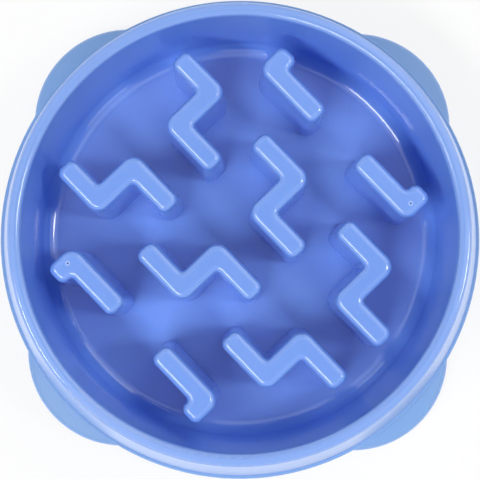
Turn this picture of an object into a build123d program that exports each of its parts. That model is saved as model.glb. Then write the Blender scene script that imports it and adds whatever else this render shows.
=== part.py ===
from build123d import *

import math
import os

# A slow feeder bowl, in millimetres. It stands on z = 0 on four rubber feet, its axis is Z, and X runs
# along the maze ridges, so the maze is the same on both sides of the XZ plane. A foot lobe lies on
# each of +X, +Y, -X and -Y.

# Rim and tub
RIM_HEIGHT = 66.0
RIM_RADIUS = 131.5
RIM_WIDTH = 7.5
RIM_FALL = 0.6
RIM_OUTER_ROUND = 2.6
RIM_INNER_ROUND = 3.2
COLLAR_HEIGHT = 4.5
COLLAR_STEP = 0.8
RIM_LAND = 8.0
WALL = 2.4
FLOOR_HEIGHT = 6.0
TUB_TAPER = 5.0
TUB_FLOOR_ROUND = 9.0

# Flared outer wall, ledge and skirt
WALL_FLARE = 12.2
LEDGE_HEIGHT = 15.0
LEDGE_WIDTH = 1.9
LEDGE_ROUND = 0.8
SKIRT_FLARE = 0.5
GROUND_GAP = 2.0

# Foot lobes
LOBE_RADIUS = 58.0
LOBE_OVERHANG = 11.4
LOBE_CROWN_HEIGHT = 14.0
LOBE_EDGE_HEIGHT = 9.5
LOBE_SHOULDER = 16.0
LOBE_SHOULDER_ROUND = 14.0
LOBE_EDGE_ROUND = 4.5

# Maze ridges, by their tops: rows are the distances of their centrelines from the XZ plane
RIDGE_DROP = 10.0
RIDGE_WIDTH = 13.0
RIDGE_DRAFT = 2.0
RIDGE_EDGE_ROUND = 4.0
RIDGE_CORNER_ROUND = 0.6
RIDGE_BEND_ROUND = 8.0
RIDGE_CROOK_ROUND = 0.4
ZIGZAG_PITCH = 70.0
ZIGZAG_INNER_ROW = 17.5
ZIGZAG_OUTER_ROW = 45.5
ZIGZAG_RUN = 32.4
ZIGZAG_FIRST_RUN = 28.5
HOOK_ROW = 80.0
HOOK_START = 16.6
HOOK_END = 55.3
HOOK_NOSE = 0.4
MAZE_GAP = 5.0

# Rubber feet and the posts that hold them
FOOT_INSET = 19.5
PAD_RADIUS = 12.0
PAD_HEIGHT = 5.0
PAD_ROUND = 1.2
POST_RADIUS = 6.5
POST_BORE_RADIUS = 3.5
POST_BORE_ROOM = 0.8
STEM_LENGTH = 10.0
STEM_CLEARANCE = 0.15
STEM_RING_COUNT = 3
STEM_RING_DEPTH = 0.5
STEM_TIP = 1.2
RIB_THICKNESS = 2.2

# Sizes that follow from the ones above
MOUTH_RADIUS = RIM_RADIUS - RIM_WIDTH
TUB_FLOOR_RADIUS = MOUTH_RADIUS - TUB_TAPER
WALL_FOOT_RADIUS = RIM_RADIUS + WALL_FLARE
LEDGE_RADIUS = WALL_FOOT_RADIUS + LEDGE_WIDTH
BASE_RADIUS = LEDGE_RADIUS + SKIRT_FLARE
FLOOR_UNDERSIDE = FLOOR_HEIGHT - WALL
LOBE_REACH = BASE_RADIUS + LOBE_OVERHANG
LOBE_CENTRE = LOBE_REACH - LOBE_RADIUS
FOOT_REACH = LOBE_REACH - FOOT_INSET
POST_BORE_DEPTH = STEM_LENGTH + STEM_TIP + POST_BORE_ROOM
RIM_EDGE_HEIGHT = RIM_HEIGHT - RIM_FALL
COLLAR_UNDERSIDE = RIM_HEIGHT - COLLAR_HEIGHT
COLLAR_ROOT_RADIUS = RIM_RADIUS - COLLAR_STEP
HOLLOW_TOP = RIM_HEIGHT - RIM_LAND
RIDGE_HEIGHT = RIM_HEIGHT - RIDGE_DROP
RIDGE_ROOT_HEIGHT = FLOOR_HEIGHT - WALL / 2
RIDGE_END_ROUND = RIDGE_EDGE_ROUND + RIDGE_CORNER_ROUND
DRAFT_SLOPE = math.tan(math.radians(RIDGE_DRAFT))
CROOK_TOP_ROUND = RIDGE_CROOK_ROUND + (RIDGE_HEIGHT - FLOOR_UNDERSIDE) * DRAFT_SLOPE
HOOK_TIP_ROW = HOOK_ROW + RIDGE_WIDTH / 2 + CROOK_TOP_ROUND + RIDGE_END_ROUND + HOOK_NOSE
LOBE_ANGLES = {"right": 0.0, "back": 90.0, "left": 180.0, "front": 270.0}


def nearest(face, x, z):
    """The corner of an XZ profile nearest to a point."""
    return face.vertices().sort_by_distance(Vector(x, 0, z))[0]


def profile(points, rounds=()):
    """A closed XZ profile, with some of its corners rounded: rounds holds (x, z, radius)."""
    face = make_face(Plane.XZ * Polyline(*points, close=True))
    for x, z, radius in rounds:
        face = fillet(nearest(face, x, z), radius)
    return face


def outer_wall_radius(z):
    """Radius of the flared outer wall's face at a height."""
    share = (z - LEDGE_HEIGHT) / (COLLAR_UNDERSIDE - LEDGE_HEIGHT)
    return WALL_FOOT_RADIUS + share * (COLLAR_ROOT_RADIUS - WALL_FOOT_RADIUS)


def round_envelope():
    """The bowl's outside as one solid of revolution, from the skirt's edge to the rim."""
    points = [
        (0, GROUND_GAP),
        (BASE_RADIUS, GROUND_GAP),
        (LEDGE_RADIUS, LEDGE_HEIGHT),
        (WALL_FOOT_RADIUS, LEDGE_HEIGHT),
        (COLLAR_ROOT_RADIUS, COLLAR_UNDERSIDE),
        (RIM_RADIUS, COLLAR_UNDERSIDE),
        (RIM_RADIUS, RIM_EDGE_HEIGHT),
        (MOUTH_RADIUS + RIM_INNER_ROUND, RIM_HEIGHT),
        (0, RIM_HEIGHT),
    ]
    rounds = [
        (LEDGE_RADIUS, LEDGE_HEIGHT, LEDGE_ROUND),
        (RIM_RADIUS, RIM_EDGE_HEIGHT, RIM_OUTER_ROUND),
    ]
    return revolve(profile(points, rounds), Axis.Z)


def tub(wall):
    """The space inside the tub, grown by a wall: nothing for the food space, WALL for its outside."""
    floor = FLOOR_HEIGHT - wall
    points = [
        (0, floor),
        (TUB_FLOOR_RADIUS + wall, floor),
        (MOUTH_RADIUS + wall, RIM_HEIGHT),
        (0, RIM_HEIGHT),
    ]
    rounds = [(TUB_FLOOR_RADIUS + wall, floor, TUB_FLOOR_ROUND + wall)]
    return revolve(profile(points, rounds), Axis.Z)


def lobe(wall, bottom):
    """One low foot lobe about its own axis, shrunk by a wall, with a sloping top and a round edge."""
    radius = LOBE_RADIUS - wall
    crown = LOBE_CROWN_HEIGHT - wall
    edge = LOBE_EDGE_HEIGHT - wall
    shoulder = radius - LOBE_SHOULDER
    points = [(0, bottom), (radius, bottom), (radius, edge), (shoulder, crown), (0, crown)]
    rounds = [
        (shoulder, crown, LOBE_SHOULDER_ROUND),
        (radius, edge, LOBE_EDGE_ROUND),
    ]
    return Pos(LOBE_CENTRE, 0, 0) * revolve(profile(points, rounds), Axis.Z)


def at_lobes(piece):
    """The same piece at each of the four lobes."""
    return [Rot(0, 0, angle) * piece for angle in LOBE_ANGLES.values()]


def foot_post():
    """The bored post above a rubber foot, and the rib that ties it to the walls on both sides."""
    height = HOLLOW_TOP - PAD_HEIGHT
    centre = PAD_HEIGHT + height / 2
    post = Pos(FOOT_REACH, 0, centre) * Cylinder(POST_RADIUS, height)
    rib_length = LOBE_REACH - TUB_FLOOR_RADIUS
    rib = Pos(TUB_FLOOR_RADIUS + rib_length / 2, 0, centre) * Box(rib_length, RIB_THICKNESS, height)
    bore = Pos(FOOT_REACH, 0, PAD_HEIGHT + POST_BORE_DEPTH / 2) * Cylinder(POST_BORE_RADIUS, POST_BORE_DEPTH)
    return post + rib - bore


def underside_hollow():
    """The space under the bowl, between the tub and the outer walls, round the foot posts."""
    top_radius = outer_wall_radius(HOLLOW_TOP) - WALL
    ledge_underside = LEDGE_HEIGHT - WALL
    points = [
        (0, 0),
        (BASE_RADIUS - WALL, 0),
        (BASE_RADIUS - WALL, GROUND_GAP),
        (LEDGE_RADIUS - WALL, ledge_underside),
        (outer_wall_radius(ledge_underside) - WALL, ledge_underside),
        (top_radius, HOLLOW_TOP),
        (0, HOLLOW_TOP),
    ]
    space = revolve(profile(points), Axis.Z)
    space += at_lobes(lobe(WALL, 0))
    space -= tub(WALL)
    return space - at_lobes(foot_post())


def step_of(start, end):
    """The unit step along a run that is parallel to X or Y."""
    return (end - start).normalized()


def ridge_outline(path, inset):
    """The outline of a ridge's top about its centreline, set in all round."""
    half_width = RIDGE_WIDTH / 2 - inset
    corners = [Vector(*point) for point in path]
    corners[0] += step_of(corners[0], corners[1]) * inset
    corners[-1] += step_of(corners[-1], corners[-2]) * inset
    last = len(corners) - 1
    outline = Sketch()
    for index, (start, end) in enumerate(zip(corners, corners[1:])):
        step = step_of(start, end)
        begin = start if index == 0 else start - step * half_width
        finish = end if index + 1 == last else end + step * half_width
        middle = (begin + finish) / 2
        angle = math.degrees(math.atan2(step.Y, step.X))
        run = Rectangle((finish - begin).length, 2 * half_width)
        outline += Pos(middle.X, middle.Y) * Rot(0, 0, angle) * run
    bends = []
    crooks = []
    for before, corner, after in zip(corners, corners[1:], corners[2:]):
        inward = step_of(corner, after) - step_of(before, corner)
        bends.append(corner - inward * half_width)
        crooks.append(corner + inward * half_width)
    ends = []
    for end, neighbour in ((corners[0], corners[1]), (corners[-1], corners[-2])):
        step = step_of(neighbour, end)
        across = Vector(-step.Y, step.X) * half_width
        ends += [end + across, end - across]
    rounds = (
        (crooks, CROOK_TOP_ROUND + inset),
        (bends, RIDGE_BEND_ROUND - inset),
        (ends, RIDGE_END_ROUND - inset),
    )
    for points, radius in rounds:
        chosen = [outline.vertices().sort_by_distance(point)[0] for point in points]
        outline = fillet(chosen, radius)
    return outline


def ridge_block(path, inset, bottom):
    """A ridge down to a given height, set in all round, with drafted sides and a rounded top."""
    top = RIDGE_HEIGHT - inset
    block = Pos(0, 0, bottom) * extrude(ridge_outline(path, inset), top - bottom)
    sides = block.faces().filter_by(Axis.Z, reverse=True)
    block = draft(sides, Plane.XY.offset(top), RIDGE_DRAFT)
    return fillet(block.faces().sort_by(Axis.Z)[-1].edges(), RIDGE_EDGE_ROUND - inset)


def ridge(path):
    """A solid ridge, rooted halfway down in the floor."""
    return ridge_block(path, 0, RIDGE_ROOT_HEIGHT)


def ridge_core(path):
    """The hollow inside a ridge, one wall inside its faces and open below."""
    return ridge_block(path, WALL, 0)


def maze_room(inset):
    """The round room that the maze keeps to, clear of the tub's wall, set in by a wall for its hollows."""
    radius = TUB_FLOOR_RADIUS - MAZE_GAP - inset
    return Pos(0, 0, RIM_HEIGHT / 2) * Cylinder(radius, RIM_HEIGHT)


def maze_paths():
    """Centrelines of the ridges: three zigzags and two hooks on each side of the XZ plane."""
    paths = []
    for side in (-1, 1):
        for index in (-1, 0, 1):
            x = index * ZIGZAG_PITCH
            first_run = ZIGZAG_FIRST_RUN if index == -1 else ZIGZAG_RUN
            paths.append(
                [
                    (x - first_run, side * ZIGZAG_OUTER_ROW),
                    (x, side * ZIGZAG_OUTER_ROW),
                    (x, side * ZIGZAG_INNER_ROW),
                    (x + ZIGZAG_RUN, side * ZIGZAG_INNER_ROW),
                ]
            )
        for end in (-1, 1):
            paths.append(
                [
                    (end * HOOK_START, side * HOOK_ROW),
                    (end * HOOK_END, side * HOOK_ROW),
                    (end * HOOK_END, side * HOOK_TIP_ROW),
                ]
            )
    return paths


def bowl():
    """The bowl, one moulding: rim, tub, flared wall, lobes, foot posts and hollow maze ridges."""
    body = round_envelope() + at_lobes(lobe(0, GROUND_GAP))
    body -= underside_hollow()
    body -= tub(0)
    lip = body.edges().filter_by(GeomType.CIRCLE).filter_by_position(Axis.Z, RIM_HEIGHT, RIM_HEIGHT)
    body = fillet(lip.sort_by(SortBy.RADIUS)[0], RIM_INNER_ROUND)
    paths = maze_paths()
    body += [ridge(path) & maze_room(0) for path in paths]
    return body - [ridge_core(path) & maze_room(WALL) for path in paths]


def foot():
    """A push-in rubber foot: a round pad and a ringed stem that sits in its post's bore."""
    ring_radius = POST_BORE_RADIUS - STEM_CLEARANCE
    stem_radius = ring_radius - STEM_RING_DEPTH
    pitch = STEM_LENGTH / (STEM_RING_COUNT + 1)
    points = [(0, 0), (PAD_RADIUS, 0), (PAD_RADIUS, PAD_HEIGHT), (stem_radius, PAD_HEIGHT)]
    for index in range(1, STEM_RING_COUNT + 1):
        z = PAD_HEIGHT + index * pitch
        points += [(stem_radius, z), (ring_radius, z), (stem_radius, z + pitch / 2)]
    top = PAD_HEIGHT + STEM_LENGTH + STEM_TIP
    points += [(stem_radius, PAD_HEIGHT + STEM_LENGTH), (stem_radius - STEM_TIP, top), (0, top)]
    rounds = [(PAD_RADIUS, 0, PAD_ROUND), (PAD_RADIUS, PAD_HEIGHT, PAD_ROUND)]
    return Pos(FOOT_REACH, 0, 0) * revolve(profile(points, rounds), Axis.Z)


os.makedirs("parts", exist_ok=True)
export_step(bowl(), "parts/bowl.step")
for name, angle in LOBE_ANGLES.items():
    export_step(Rot(0, 0, angle) * foot(), f"parts/foot_{name}.step")
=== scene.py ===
"""Looks of a slow feeder bowl: a blue moulding with a maze of ridges, on four rubber feet."""
import logging
import math
from dataclasses import dataclass
from enum import Enum
from typing import ClassVar

import bpy
from mathutils import Matrix, Vector

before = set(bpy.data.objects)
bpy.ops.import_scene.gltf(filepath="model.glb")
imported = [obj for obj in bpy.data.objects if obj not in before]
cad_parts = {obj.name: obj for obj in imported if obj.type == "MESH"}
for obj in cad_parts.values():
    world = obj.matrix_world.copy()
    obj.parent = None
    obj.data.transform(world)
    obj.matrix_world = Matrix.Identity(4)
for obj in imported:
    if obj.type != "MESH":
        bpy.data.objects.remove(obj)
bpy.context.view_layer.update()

LOG = logging.getLogger("slow_feeder_bowl")

Colour = tuple[float, float, float, float]
Point = tuple[float, float, float]
Socket = bpy.types.NodeSocket
Outputs = bpy.types.NodeOutputs
Source = Socket | float | Colour | Point


class FootPlace(Enum):
    """Where each rubber foot stands, as its node's name says it."""

    RIGHT = "foot_right"
    BACK = "foot_back"
    LEFT = "foot_left"
    FRONT = "foot_front"


class SocketKind(Enum):
    """Kinds of sockets on a shared node group."""

    VALUE = "NodeSocketFloat"
    VECTOR = "NodeSocketVector"


class MixKind(Enum):
    """What a Mix node mixes, and the numbers of its first, second and result sockets."""

    VALUE = ("FLOAT", 2, 3, 0)
    COLOUR = ("RGBA", 6, 7, 2)


class NodeSheet:
    """A node tree that is filled from left to right, with short calls for nodes and links."""

    COLUMN_WIDTH = 200

    def __init__(self, tree: bpy.types.NodeTree) -> None:
        """Empties the tree and starts at its left edge.

        Args:
            tree: the tree of a material, a world or a group.
        """
        tree.nodes.clear()
        self.tree = tree
        self.column = 0

    def add(self, kind: str, **settings: object) -> bpy.types.Node:
        """Adds a node to the right of the last one.

        Args:
            kind: the node's type name.
            settings: values for the node's own properties.

        Returns:
            The new node.
        """
        node = self.tree.nodes.new(kind)
        node.location = (self.COLUMN_WIDTH * self.column, 0)
        self.column += 1
        for name, value in settings.items():
            setattr(node, name, value)
        return node

    def feed(self, source: Source, target: Socket) -> None:
        """Links a socket to a target, or sets the target to a plain value.

        Args:
            source: an output socket, a number, a colour or a vector.
            target: the input socket that takes it.
        """
        if isinstance(source, Socket):
            self.tree.links.new(source, target)
        else:
            target.default_value = source

    def fill(self, node: bpy.types.Node, **sources: Source) -> None:
        """Feeds a node's inputs.

        Args:
            node: the node.
            sources: input names, with underscores for spaces, and what they take.
        """
        for name, source in sources.items():
            self.feed(source, node.inputs[name.replace("_", " ")])

    def operate(self, kind: str, operation: str, first: Source, second: Source) -> Outputs:
        """Adds a node that works on two inputs.

        Args:
            kind: the node's type name.
            operation: the node's operation.
            first: its first input.
            second: its second input.

        Returns:
            The node's outputs.
        """
        node = self.add(kind, operation=operation)
        self.feed(first, node.inputs[0])
        self.feed(second, node.inputs[1])
        return node.outputs

    def math(self, operation: str, first: Source, second: Source = 0.0) -> Socket:
        """Works on two numbers with a Math node."""
        return self.operate("ShaderNodeMath", operation, first, second)["Value"]

    def plus(self, first: Source, second: Source) -> Socket:
        """Adds two numbers."""
        return self.math("ADD", first, second)

    def minus(self, first: Source, second: Source) -> Socket:
        """Takes the second number from the first."""
        return self.math("SUBTRACT", first, second)

    def times(self, first: Source, second: Source) -> Socket:
        """Multiplies two numbers."""
        return self.math("MULTIPLY", first, second)

    def vector_math(self, operation: str, first: Source, second: Source) -> Outputs:
        """Works on two vectors, and puts out Vector and Value."""
        return self.operate("ShaderNodeVectorMath", operation, first, second)

    def split(self, vector: Socket) -> Outputs:
        """Splits a vector into its parts.

        Args:
            vector: the vector's socket.

        Returns:
            The outputs X, Y and Z.
        """
        node = self.add("ShaderNodeSeparateXYZ")
        self.fill(node, Vector=vector)
        return node.outputs

    def join(self, x: Source, y: Source, z: Source) -> Socket:
        """Joins three numbers into a vector.

        Args:
            x: the part along X.
            y: the part along Y.
            z: the part along Z.

        Returns:
            The vector's socket.
        """
        node = self.add("ShaderNodeCombineXYZ")
        self.fill(node, X=x, Y=y, Z=z)
        return node.outputs["Vector"]

    def spread(
        self,
        value: Socket,
        low: float = 0.0,
        high: float = 1.0,
        new_low: float = 0.0,
        new_high: float = 1.0,
    ) -> Socket:
        """Maps a range of values onto another, clamped at both ends.

        Args:
            value: the socket to map.
            low: the value that becomes new_low.
            high: the value that becomes new_high.
            new_low: the result's lower end.
            new_high: the result's upper end.

        Returns:
            The mapped value's socket.
        """
        node = self.add("ShaderNodeMapRange", clamp=True)
        for source, socket in zip((value, low, high, new_low, new_high), node.inputs):
            self.feed(source, socket)
        return node.outputs["Result"]

    def fade(self, value: Socket, low: float = 0.0, high: float = 1.0) -> Socket:
        """Masks low values: 1 up to the low end, and 0 from the high end on."""
        return self.spread(value, low, high, new_low=1.0, new_high=0.0)

    def noise(
        self, place: Socket, scale: Source, detail: float, roughness: float = 0.5
    ) -> Socket:
        """Adds a Noise texture.

        Args:
            place: the coordinates that it reads.
            scale: features per metre.
            detail: the number of finer layers.
            roughness: how strongly the finer layers show.

        Returns:
            The noise's value, about 0 to 1.
        """
        node = self.add("ShaderNodeTexNoise")
        self.fill(node, Vector=place, Scale=scale, Detail=detail, Roughness=roughness)
        return node.outputs[0]

    def mix(self, kind: MixKind, share: Source, first: Source, second: Source) -> Socket:
        """Adds a Mix node.

        Args:
            kind: what is mixed.
            share: how much of the second counts.
            first: the value or colour at 0.
            second: the value or colour at 1.

        Returns:
            The mixture's socket.
        """
        data_type, first_input, second_input, result = kind.value
        node = self.add("ShaderNodeMix", data_type=data_type)
        for number, source in ((0, share), (first_input, first), (second_input, second)):
            self.feed(source, node.inputs[number])
        return node.outputs[result]

    def pick(self, share: Source, first: Source, second: Source) -> Socket:
        """Mixes two values."""
        return self.mix(MixKind.VALUE, share, first, second)

    def blend(self, share: Source, first: Source, second: Source) -> Socket:
        """Mixes two colours."""
        return self.mix(MixKind.COLOUR, share, first, second)

    def place(self) -> Socket:
        """Gives the place on the piece, in metres from its own origin."""
        return self.add("ShaderNodeTexCoord").outputs["Object"]

    def upward(self, low: float, high: float) -> Socket:
        """Masks faces that look up, by the upward part of their normal."""
        normal = self.split(self.add("ShaderNodeNewGeometry").outputs["Normal"])
        return self.spread(normal["Z"], low, high)

    def bump(self, height: Socket, strength: float, depth: float) -> Socket:
        """Adds a Bump node.

        Args:
            height: the relief, about 0 to 1.
            strength: how much of the relief counts.
            depth: the height of 1, in metres.

        Returns:
            The bumped normal's socket.
        """
        node = self.add("ShaderNodeBump")
        self.fill(node, Strength=strength, Distance=depth, Height=height)
        return node.outputs["Normal"]


@dataclass(frozen=True)
class GroupInput:
    """One named input of a shared node group."""

    name: str
    default: float | Point
    kind: SocketKind = SocketKind.VALUE


class SharedGroup:
    """A shader node group that finishes place with their own values.

    Every group takes the place on the piece, and puts out values that change over it.
    """

    def __init__(self, name: str, takes: list[GroupInput], gives: list[str]) -> None:
        """Makes the group's tree and its sockets.

        Args:
            name: the group's name.
            takes: its inputs beside Place, with their defaults.
            gives: the names of its outputs.
        """
        self.tree = bpy.data.node_groups.new(name, "ShaderNodeTree")
        self.sheet = NodeSheet(self.tree)
        interface = self.tree.interface
        interface.new_socket("Place", in_out="INPUT", socket_type=SocketKind.VECTOR.value)
        for take in takes:
            made = interface.new_socket(take.name, in_out="INPUT", socket_type=take.kind.value)
            made.default_value = take.default
        for give in gives:
            interface.new_socket(give, in_out="OUTPUT", socket_type=SocketKind.VALUE.value)
        self.inputs = self.sheet.add("NodeGroupInput").outputs
        self.build()

    def build(self) -> None:
        """Fills the group; each kind of group has its own nodes."""
        raise NotImplementedError

    def give(self, **results: Socket) -> None:
        """Links the results to the group's outputs, by name."""
        self.sheet.fill(self.sheet.add("NodeGroupOutput"), **results)

    def lay(self, sheet: NodeSheet, place: Socket, **values: float) -> Outputs:
        """Places the group in a finish.

        Args:
            sheet: the finish's sheet.
            place: the place on the piece.
            values: input names, with underscores for spaces, and the finish's own values.

        Returns:
            The group's outputs.
        """
        node = sheet.add("ShaderNodeGroup", node_tree=self.tree)
        sheet.fill(node, Place=place, **values)
        return node.outputs


class MouldedSkin(SharedGroup):
    """The faint waviness and cloudy colour that a moulded surface keeps from its tool."""

    def __init__(self) -> None:
        """Names the group's sockets."""
        super().__init__(
            "moulded_skin",
            [
                GroupInput("Wave Scale", 90.0),
                GroupInput("Grain Scale", 2500.0),
                GroupInput("Grain Share", 0.05),
                GroupInput("Cloud Scale", 14.0),
            ],
            ["Height", "Cloud"],
        )

    def build(self) -> None:
        """Adds long waves, fine grain and slow clouds."""
        sheet = self.sheet
        place = self.inputs["Place"]
        wave = sheet.noise(place, self.inputs["Wave Scale"], detail=1.0)
        grain = sheet.noise(place, self.inputs["Grain Scale"], detail=2.0)
        height = sheet.plus(wave, sheet.times(grain, self.inputs["Grain Share"]))
        cloud = sheet.noise(place, self.inputs["Cloud Scale"], detail=3.0, roughness=0.6)
        self.give(Height=height, Cloud=sheet.spread(cloud, low=0.3, high=0.7))


class FineScratches(SharedGroup):
    """Hairline scratches in two directions, broken up so that they never run far."""

    TURNS = (0.5, 2.1)
    LINES_PER_PATCH = 12.0
    NOISE_MIDDLE = 0.5
    LINE_WIDTH = 0.012

    def __init__(self) -> None:
        """Names the group's sockets."""
        super().__init__(
            "fine_scratches",
            [GroupInput("Scale", 60.0), GroupInput("Length", 16.0)],
            ["Mask"],
        )

    def build(self) -> None:
        """Lays the two sets of strokes over each other."""
        self.give(Mask=self.sheet.math("MAXIMUM", *map(self.strokes, self.TURNS)))

    def strokes(self, turn: float) -> Socket:
        """Draws thin lines along stretched noise, and cuts them into short strokes.

        Args:
            turn: the direction of the strokes, in radians.

        Returns:
            The strokes' mask.
        """
        sheet = self.sheet
        rotate = sheet.add("ShaderNodeVectorRotate", rotation_type="Z_AXIS")
        sheet.fill(rotate, Vector=self.inputs["Place"], Angle=turn)
        turned = rotate.outputs["Vector"]
        stretch = sheet.join(self.inputs["Length"], 1.0, 1.0)
        stretched = sheet.vector_math("DIVIDE", turned, stretch)["Vector"]
        line_scale = sheet.times(self.inputs["Scale"], self.LINES_PER_PATCH)
        line = sheet.noise(stretched, line_scale, detail=0.0)
        off_line = sheet.math("ABSOLUTE", sheet.minus(line, self.NOISE_MIDDLE))
        thin = sheet.fade(off_line, high=self.LINE_WIDTH)
        patch = sheet.noise(turned, self.inputs["Scale"], detail=2.0)
        return sheet.times(thin, sheet.spread(patch, low=0.52, high=0.62))


class Dust(SharedGroup):
    """A thin film of dust that lies on faces that look up, in drifts."""

    SPECKS_PER_DRIFT = 40.0

    def __init__(self) -> None:
        """Names the group's sockets."""
        super().__init__("dust", [GroupInput("Scale", 35.0)], ["Mask"])

    def build(self) -> None:
        """Adds drifts and specks, and keeps them off steep faces."""
        sheet = self.sheet
        place, scale = self.inputs["Place"], self.inputs["Scale"]
        drift = sheet.noise(place, scale, detail=4.0, roughness=0.6)
        drift = sheet.spread(drift, low=0.4, high=0.75)
        speck = sheet.noise(place, sheet.times(scale, self.SPECKS_PER_DRIFT), detail=1.0)
        speck = sheet.spread(speck, low=0.6, high=0.75)
        film = sheet.times(sheet.plus(drift, speck), sheet.upward(low=0.3, high=1.0))
        self.give(Mask=sheet.math("MINIMUM", film, 1.0))


class OuterZones(SharedGroup):
    """The zones of the bowl's outside that differ from the rest: rim, wall and lobes. The finish
    paints sheen, reflection and shade into their colours, and makes the wall and lobes matt.
    """

    def __init__(self) -> None:
        """Names the group's sockets, whose sizes are in metres."""
        super().__init__(
            "outer_zones",
            [
                GroupInput("Wall Radius", 0.1295),
                GroupInput("Wall Top", 0.0620),
                GroupInput("Ledge Radius", 0.1432),
                GroupInput("Ledge Height", 0.0155),
                GroupInput("Fade", 0.0008),
            ],
            ["Rim", "Wall", "Lobes"],
        )

    def build(self) -> None:
        """Masks the rim and the wall by height, and the lobes where they look up."""
        sheet, inputs = self.sheet, self.inputs
        place = sheet.split(inputs["Place"])
        height = place["Z"]
        squares = [sheet.times(place[axis], place[axis]) for axis in ("X", "Y")]
        out = sheet.math("SQRT", sheet.plus(*squares))
        above_ledge = self.past(height, inputs["Ledge Height"])
        below_ledge = sheet.minus(1.0, above_ledge)
        below_top = self.past(inputs["Wall Top"], height)
        wall = sheet.times(self.past(out, inputs["Wall Radius"]), above_ledge)
        upward = sheet.upward(low=0.3, high=0.8)
        lobes = sheet.times(self.past(out, inputs["Ledge Radius"]), upward)
        self.give(
            Rim=self.past(height, inputs["Wall Top"]),
            Wall=sheet.times(wall, below_top),
            Lobes=sheet.times(lobes, below_ledge),
        )

    def past(self, value: Socket, limit: Socket) -> Socket:
        """Masks where a value lies past a limit: 0 up to it, and 1 from one fade beyond it."""
        beyond = self.sheet.minus(value, limit)
        return self.sheet.spread(self.sheet.math("DIVIDE", beyond, self.inputs["Fade"]))


class GateMarks(SharedGroup):
    """The two small rings that the mould left on opposite hooks of the maze, with a painted
    highlight on each ring and painted shade in the pit at its middle.
    """

    def __init__(self) -> None:
        """Names the group's sockets, whose sizes are in metres."""
        super().__init__(
            "gate_marks",
            [
                GroupInput("Centre", (0.0555, 0.0826, 0.056), SocketKind.VECTOR),
                GroupInput("Radius", 0.0010),
                GroupInput("Line", 0.0006),
            ],
            ["Ring", "Pit"],
        )

    def build(self) -> None:
        """Turns the two opposite hooks into one, and masks a ring, for relief and a painted
        highlight, and a pit, for painted shade, at its mark.
        """
        sheet, radius = self.sheet, self.inputs["Radius"]
        place = sheet.split(self.inputs["Place"])
        side = sheet.math("SIGN", place["X"])
        turned = [sheet.times(place[axis], side) for axis in ("X", "Y")]
        folded = sheet.join(*turned, place["Z"])
        away = sheet.vector_math("DISTANCE", folded, self.inputs["Centre"])["Value"]
        off_ring = sheet.math("ABSOLUTE", sheet.minus(away, radius))
        self.give(
            Ring=sheet.fade(sheet.math("DIVIDE", off_ring, self.inputs["Line"])),
            Pit=sheet.fade(sheet.math("DIVIDE", away, radius), low=0.3, high=0.7),
        )


class SurfaceEffects:
    """The shared node groups, built once."""

    def __init__(self) -> None:
        """Builds every group."""
        self.skin = MouldedSkin()
        self.scratches = FineScratches()
        self.dust = Dust()
        self.zones = OuterZones()
        self.marks = GateMarks()


@dataclass(frozen=True)
class Finish:
    """What a surface is made of; each kind of finish has its own name and nodes."""

    NAME: ClassVar[str]

    def shade(self, sheet: NodeSheet) -> Socket:
        """Adds the finish's nodes to a material's sheet, and gives its shader."""
        raise NotImplementedError

    def material(self) -> bpy.types.Material:
        """Builds the material.

        Returns:
            The finished material.
        """
        material = bpy.data.materials.new(self.NAME)
        material.use_nodes = True
        sheet = NodeSheet(material.node_tree)
        shader = self.shade(sheet)
        sheet.fill(sheet.add("ShaderNodeOutputMaterial"), Surface=shader)
        return material


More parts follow.
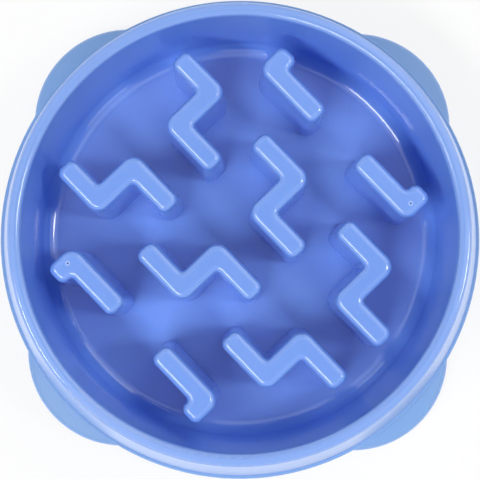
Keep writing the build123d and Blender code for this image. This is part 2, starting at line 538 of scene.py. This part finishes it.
@dataclass(frozen=True)
class PlasticFinish(Finish):
    """Moulded plastic, glossy but for the matt wall and lobes.

    Its colour has slow clouds, hairline scratches and a trace of dust, and painted light:
    a painted sheen on the rim, a painted reflection of the floor on the wall, painted shade
    and reflection on the lobes, a painted highlight on the ring marks and painted shade in
    their pits.
    """

    NAME = "glossy_blue_plastic"

    effects: SurfaceEffects
    colour: Colour = (0.150, 0.300, 0.775, 1.0)
    cloud_colour: Colour = (0.164, 0.320, 0.800, 1.0)
    scratch_colour: Colour = (0.26, 0.42, 0.88, 1.0)
    dust_colour: Colour = (0.55, 0.60, 0.70, 1.0)
    # painted sheen: the rim's paler blue stands in for light reflected off its sloped top
    rim_painted_sheen_colour: Colour = (0.184, 0.334, 0.765, 1.0)
    # painted reflection: the wall's paler blue stands in for part of the white floor's reflection;
    # its matt gloss is real
    wall_painted_reflection_colour: Colour = (0.225, 0.368, 0.735, 1.0)
    # painted shade and reflection: the lobes' less blue, greyer colour stands in for the lesser
    # light on them and the white they reflect
    lobe_painted_shade_and_reflection_colour: Colour = (0.186, 0.348, 0.655, 1.0)
    # painted highlight: the ring's pale blue stands in for light caught by the raised ring
    ring_painted_highlight_colour: Colour = (0.45, 0.58, 0.90, 1.0)
    # painted shade: the pit has no relief; its dark colour stands in for the shade in it
    pit_painted_shade_colour: Colour = (0.020, 0.060, 0.220, 1.0)
    roughness: float = 0.11
    cloud_roughness: float = 0.05
    scratch_roughness: float = 0.22
    lobe_roughness: float = 0.34
    wall_roughness: float = 0.24
    scratch_share: float = 0.35
    dust_share: float = 0.04
    # share of the painted highlight on the ring
    ring_highlight_share: float = 0.85
    ring_height: float = 0.25
    bump_strength: float = 0.05
    bump_depth: float = 0.0006
    ior: float = 1.5
    coat: float = 0.25
    coat_roughness: float = 0.06
    translucence: float = 0.06
    translucence_depth: float = 0.002

    def shade(self, sheet: NodeSheet) -> Socket:
        """Adds the plastic's nodes.

        Args:
            sheet: the material's sheet.

        Returns:
            The shader's socket.
        """
        place = sheet.place()
        skin = self.effects.skin.lay(sheet, place)
        zones = self.effects.zones.lay(sheet, place)
        marks = self.effects.marks.lay(sheet, place)
        scratch = self.effects.scratches.lay(sheet, place)["Mask"]
        scratch = sheet.times(scratch, self.scratch_share)
        dust = sheet.times(self.effects.dust.lay(sheet, place)["Mask"], self.dust_share)
        wall, lobes, ring = zones["Wall"], zones["Lobes"], marks["Ring"]
        base = self.colour
        for share, colour in (
            (skin["Cloud"], self.cloud_colour),
            (scratch, self.scratch_colour),
            (dust, self.dust_colour),
            # painted sheen on the rim
            (zones["Rim"], self.rim_painted_sheen_colour),
            # painted reflection of the floor on the wall
            (wall, self.wall_painted_reflection_colour),
            # painted shade and reflection on the lobes
            (lobes, self.lobe_painted_shade_and_reflection_colour),
            # painted highlight on the ring
            (sheet.times(ring, self.ring_highlight_share), self.ring_painted_highlight_colour),
            # painted shade in the pit
            (marks["Pit"], self.pit_painted_shade_colour),
        ):
            base = sheet.blend(share, base, colour)
        rough = sheet.plus(dust, self.roughness)
        for share, change in (
            (skin["Cloud"], self.cloud_roughness),
            (scratch, self.scratch_roughness),
            (lobes, self.lobe_roughness),
            (wall, self.wall_roughness),
        ):
            rough = sheet.plus(rough, sheet.times(share, change))
        matt = sheet.plus(wall, lobes)
        relief = sheet.plus(skin["Height"], sheet.times(ring, self.ring_height))
        shader = sheet.add("ShaderNodeBsdfPrincipled")
        sheet.fill(
            shader,
            Base_Color=base,
            Roughness=rough,
            Normal=sheet.bump(relief, self.bump_strength, self.bump_depth),
            IOR=self.ior,
            Coat_Weight=sheet.spread(matt, new_low=self.coat, new_high=0.0),
            Coat_Roughness=self.coat_roughness,
            Subsurface_Weight=self.translucence,
            Subsurface_Scale=self.translucence_depth,
        )
        return shader.outputs["BSDF"]


@dataclass(frozen=True)
class RubberFinish(Finish):
    """Matt dark rubber with a pebbled skin, scuffs and dust."""

    NAME = "matt_foot_rubber"

    effects: SurfaceEffects
    colour: Colour = (0.020, 0.022, 0.026, 1.0)
    cloud_colour: Colour = (0.030, 0.032, 0.037, 1.0)
    scuff_colour: Colour = (0.075, 0.075, 0.078, 1.0)
    dust_colour: Colour = (0.28, 0.27, 0.25, 1.0)
    roughness: float = 0.62
    cloud_roughness: float = 0.14
    grain_scale: float = 1800.0
    grain_share: float = 1.0
    scuff_scale: float = 120.0
    scuff_length: float = 8.0
    dust_scale: float = 90.0
    dust_share: float = 0.20
    bump_strength: float = 0.35
    bump_depth: float = 0.0003

    def shade(self, sheet: NodeSheet) -> Socket:
        """Adds the rubber's nodes.

        Args:
            sheet: the material's sheet.

        Returns:
            The shader's socket.
        """
        place = sheet.place()
        skin = self.effects.skin.lay(
            sheet, place, Grain_Scale=self.grain_scale, Grain_Share=self.grain_share
        )
        scuffs = self.effects.scratches.lay(
            sheet, place, Scale=self.scuff_scale, Length=self.scuff_length
        )
        dust = self.effects.dust.lay(sheet, place, Scale=self.dust_scale)
        base = sheet.blend(skin["Cloud"], self.colour, self.cloud_colour)
        base = sheet.blend(scuffs["Mask"], base, self.scuff_colour)
        base = sheet.blend(sheet.times(dust["Mask"], self.dust_share), base, self.dust_colour)
        roughest = self.roughness + self.cloud_roughness
        shader = sheet.add("ShaderNodeBsdfPrincipled")
        sheet.fill(
            shader,
            Base_Color=base,
            Roughness=sheet.spread(skin["Cloud"], new_low=self.roughness, new_high=roughest),
            Normal=sheet.bump(skin["Height"], self.bump_strength, self.bump_depth),
        )
        return shader.outputs["BSDF"]


@dataclass(frozen=True)
class PaperFinish(Finish):
    """White paper: it glows where it is seen, and keeps a share of the shade that falls on it."""

    NAME = "studio_paper"

    colour: Colour = (0.84, 0.84, 0.84, 1.0)
    fibre_colour: Colour = (0.88, 0.88, 0.88, 1.0)
    fibre_scale: float = 400.0
    glow: float = 1.0
    mirrored_glow: float = 1.8
    glow_share: float = 0.8

    def shade(self, sheet: NodeSheet) -> Socket:
        """Adds the paper's nodes.

        Args:
            sheet: the material's sheet.

        Returns:
            The shader's socket.
        """
        fibre = sheet.noise(sheet.place(), self.fibre_scale, detail=3.0)
        fibre = sheet.spread(fibre, low=0.3, high=0.7)
        paper = sheet.add("ShaderNodeBsdfDiffuse")
        sheet.fill(paper, Color=sheet.blend(fibre, self.colour, self.fibre_colour))
        rays = sheet.add("ShaderNodeLightPath").outputs
        mirrored = rays["Is Glossy Ray"]
        glow = sheet.add("ShaderNodeEmission")
        sheet.fill(glow, Strength=sheet.pick(mirrored, self.glow, self.mirrored_glow))
        seen = sheet.math("MAXIMUM", rays["Is Camera Ray"], mirrored)
        seen = sheet.math("MAXIMUM", seen, rays["Is Transmission Ray"])
        shader = sheet.add("ShaderNodeMixShader")
        sources = (
            sheet.times(seen, self.glow_share),
            paper.outputs["BSDF"],
            glow.outputs["Emission"],
        )
        for source, socket in zip(sources, shader.inputs):
            sheet.feed(source, socket)
        return shader.outputs["Shader"]


@dataclass
class SubAssembly:
    """Pieces of the part that share one finish."""

    finish: Finish
    nodes: tuple[str, ...]

    def dress(self) -> list[bpy.types.Object]:
        """Gives every piece the finish.

        Returns:
            The dressed pieces.
        """
        material = self.finish.material()
        pieces = [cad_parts[node] for node in self.nodes]
        for piece in pieces:
            piece.data.materials.clear()
            piece.data.materials.append(material)
        return pieces


@dataclass
class Bowl(SubAssembly):
    """The one-piece moulding: rim, tub, flared wall, lobes and maze."""

    nodes: tuple[str, ...] = ("bowl",)


@dataclass
class RubberFeet(SubAssembly):
    """The four push-in rubber feet."""

    nodes: tuple[str, ...] = tuple(place.value for place in FootPlace)


@dataclass
class SoftBox:
    """One rectangular studio lamp that faces the bowl.

    Its turn and height are in degrees, its size and distance in metres, and its brightness is
    that of its face, where 1 is white.
    """

    name: str
    turn: float
    height: float
    size: tuple[float, float]
    brightness: float
    distance: float = 2.2

    def build(self) -> bpy.types.Object:
        """Hangs the lamp.

        Returns:
            The lamp.
        """
        data = bpy.data.lights.new(self.name, "AREA")
        data.shape = "RECTANGLE"
        data.size, data.size_y = self.size
        data.energy = math.pi * data.size * data.size_y * self.brightness
        lamp = bpy.data.objects.new(self.name, data)
        turn = math.radians(self.turn)
        height = math.radians(self.height)
        level = math.cos(height)
        away = Vector((math.sin(turn) * level, -math.cos(turn) * level, math.sin(height)))
        lamp.location = away * self.distance
        lamp.rotation_euler = away.to_track_quat("Z", "Y").to_euler()
        bpy.context.scene.collection.objects.link(lamp)
        return lamp


@dataclass(frozen=True)
class SkyStep:
    """A change in the mirrored sky: whole below the low height, and none above the high one.

    A height is the upward part of a direction: 0 at the horizon and 1 straight up.
    """

    low: float
    high: float
    change: float


@dataclass
class Studio:
    """A plain white floor, white surroundings and soft lamps."""

    paper: PaperFinish = PaperFinish()
    floor_half: float = 3.0
    floor_drop: float = 0.0002
    sky_colour: Colour = (1.0, 1.0, 1.0, 1.0)
    sky_seen: float = 1.0
    sky_light: float = 0.315
    overhead_mirror: float = 0.7
    mirror_steps: tuple[SkyStep, ...] = (
        SkyStep(low=0.950, high=0.992, change=1.0),
        SkyStep(low=0.750, high=0.900, change=-0.6),
        SkyStep(low=0.250, high=0.600, change=1.3),
    )
    view_turn: float = 46.0

    def build(self) -> None:
        """Lays the floor, lights the sky and hangs the lamps."""
        self.lay_floor()
        self.light_sky()
        for lamp in self.lamps():
            lamp.build()

    def lamps(self) -> list[SoftBox]:
        """Lists the lamps, placed by their turn from the viewer's side.

        Returns:
            A long bright box at the left, a small bright one at the right and a broad dim one
            behind the bowl.
        """
        left, right, behind = (self.view_turn + turn for turn in (-46.0, 86.0, 135.0))
        return [
            SoftBox("left_box", left, height=53.0, size=(1.7, 0.37), brightness=16.0),
            SoftBox("right_box", right, height=52.0, size=(0.41, 0.41), brightness=22.0),
            SoftBox("back_box", behind, height=40.0, size=(1.5, 1.5), brightness=1.6),
        ]

    def lay_floor(self) -> None:
        """Lays the floor just below the feet."""
        half, low = self.floor_half, -self.floor_drop
        corners = [(-half, -half, low), (half, -half, low), (half, half, low), (-half, half, low)]
        mesh = bpy.data.meshes.new("studio_floor")
        mesh.from_pydata(corners, [], [(0, 1, 2, 3)])
        mesh.materials.append(self.paper.material())
        floor = bpy.data.objects.new("studio_floor", mesh)
        bpy.context.scene.collection.objects.link(floor)

    def light_sky(self) -> None:
        """Makes the sky white to the eye and a soft light, with steps by height in reflections."""
        world = bpy.data.worlds.new("studio_sky")
        world.use_nodes = True
        sheet = NodeSheet(world.node_tree)
        rays = sheet.add("ShaderNodeLightPath").outputs
        direction = sheet.split(sheet.add("ShaderNodeTexCoord").outputs["Generated"])
        mirror = self.overhead_mirror
        for step in self.mirror_steps:
            change = sheet.spread(direction["Z"], step.low, step.high, step.change, 0.0)
            mirror = sheet.plus(mirror, change)
        strength = sheet.pick(rays["Is Glossy Ray"], self.sky_light, mirror)
        for ray in ("Is Camera Ray", "Is Transmission Ray"):
            strength = sheet.pick(rays[ray], strength, self.sky_seen)
        background = sheet.add("ShaderNodeBackground")
        sheet.fill(background, Color=self.sky_colour, Strength=strength)
        output = sheet.add("ShaderNodeOutputWorld")
        sheet.fill(output, Surface=background.outputs["Background"])
        bpy.context.scene.world = world


@dataclass
class PhotoCamera:
    """The camera, almost straight above and a little to the front.

    Its turn, tilt and lean are in degrees, and its distance and aim in metres.
    """

    turn: float = 46.17
    tilt: float = 2.92
    side_lean: float = 0.28
    distance: float = 0.700
    nearest: float = 0.01
    pixels_per_metre: float = 1610.2
    frame_pixels: float = 480.0
    sensor_mm: float = 36.0
    aim: Point = (0.00056, -0.00037, 0.0)

    def build(self) -> bpy.types.Object:
        """Places the camera and makes it the scene's.

        Returns:
            The camera.
        """
        data = bpy.data.cameras.new("photo_camera")
        data.sensor_width = self.sensor_mm
        data.lens = self.pixels_per_metre * self.distance / self.frame_pixels * self.sensor_mm
        data.clip_start = self.nearest
        camera = bpy.data.objects.new("photo_camera", data)
        turn, tilt, lean = map(math.radians, (self.turn, self.tilt, self.side_lean))
        nearer = Vector((math.sin(turn), -math.cos(turn), 0.0))
        sideways = Vector((math.cos(turn), math.sin(turn), 0.0))
        straight_up = Vector((0.0, 0.0, 1.0))
        back = nearer * math.sin(tilt) + sideways * math.sin(lean) + straight_up
        back.normalize()
        right = (-nearer).cross(back).normalized()
        axes = Matrix((right, back.cross(right), back)).transposed().to_4x4()
        camera.matrix_world = Matrix.Translation(Vector(self.aim) + back * self.distance) @ axes
        bpy.context.scene.collection.objects.link(camera)
        bpy.context.scene.camera = camera
        return camera


def main() -> None:
    """Dresses the bowl and its feet, and sets up the studio and the camera."""
    logging.basicConfig(level=logging.INFO, format="%(name)s: %(message)s")
    bpy.context.scene.view_settings.view_transform = "Standard"
    effects = SurfaceEffects()
    for group in (Bowl(PlasticFinish(effects)), RubberFeet(RubberFinish(effects))):
        for piece in group.dress():
            LOG.info("%s dressed", piece.name)
    Studio().build()
    PhotoCamera().build()


if __name__ == "__main__":
    main()
